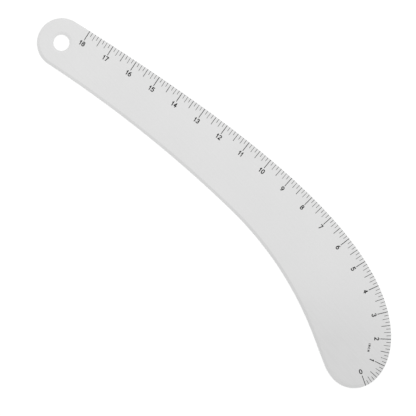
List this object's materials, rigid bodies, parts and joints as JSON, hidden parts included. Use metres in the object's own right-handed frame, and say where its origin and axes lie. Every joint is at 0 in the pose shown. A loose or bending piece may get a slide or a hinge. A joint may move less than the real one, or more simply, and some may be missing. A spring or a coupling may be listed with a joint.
{
  "type": "hip curve ruler",
  "caption": "Flat satin aluminium curve for pattern drafting, with a rounded head, a hang hole, a hooked tip and an ink-filled inch scale along its outer edge.",
  "frame": {"origin": "middle of the bounding box, on the back face that lies on the table", "axes": "+X along the length from the rounded head to the hooked tip, +Y towards the bulging outer edge with the scale, +Z out of the marked face"},
  "size_m": [0.4428, 0.098, 0.0015],
  "materials": {
    "aluminium": "fine satin, uncoated",
    "ink": "dull black filler in shallow grooves"
  },
  "bodies": {
    "root": {"blade": "aluminium", "ink_inch_mark_00": "ink", "ink_inch_mark_01": "ink", "ink_inch_mark_02": "ink", "ink_inch_mark_03": "ink", "ink_inch_mark_04": "ink", "ink_inch_mark_05": "ink", "ink_inch_mark_06": "ink", "ink_inch_mark_07": "ink", "ink_inch_mark_08": "ink", "ink_inch_mark_09": "ink", "ink_inch_mark_10": "ink", "ink_inch_mark_11": "ink", "ink_inch_mark_12": "ink", "ink_inch_mark_13": "ink", "ink_inch_mark_14": "ink", "ink_inch_mark_15": "ink", "ink_inch_mark_16": "ink", "ink_inch_mark_17": "ink", "ink_inch_mark_18": "ink", "ink_number_00": "ink", "ink_number_01": "ink", "ink_number_02": "ink", "ink_number_03": "ink", "ink_number_04": "ink", "ink_number_05": "ink", "ink_number_06": "ink", "ink_number_07": "ink", "ink_number_08": "ink", "ink_number_09": "ink", "ink_number_10_tens": "ink", "ink_number_10_units": "ink", "ink_number_11_tens": "ink", "ink_number_11_units": "ink", "ink_number_12_tens": "ink", "ink_number_12_units": "ink", "ink_number_13_tens": "ink", "ink_number_13_units": "ink", "ink_number_14_tens": "ink", "ink_number_14_units": "ink", "ink_number_15_tens": "ink", "ink_number_15_units": "ink", "ink_number_16_tens": "ink", "ink_number_16_units": "ink", "ink_number_17_tens": "ink", "ink_number_17_units": "ink", "ink_number_18_tens": "ink", "ink_number_18_units": "ink", "ink_unit_i": "ink", "ink_unit_n": "ink", "ink_unit_c": "ink", "ink_unit_h": "ink"}
  },
  "joints": []
}
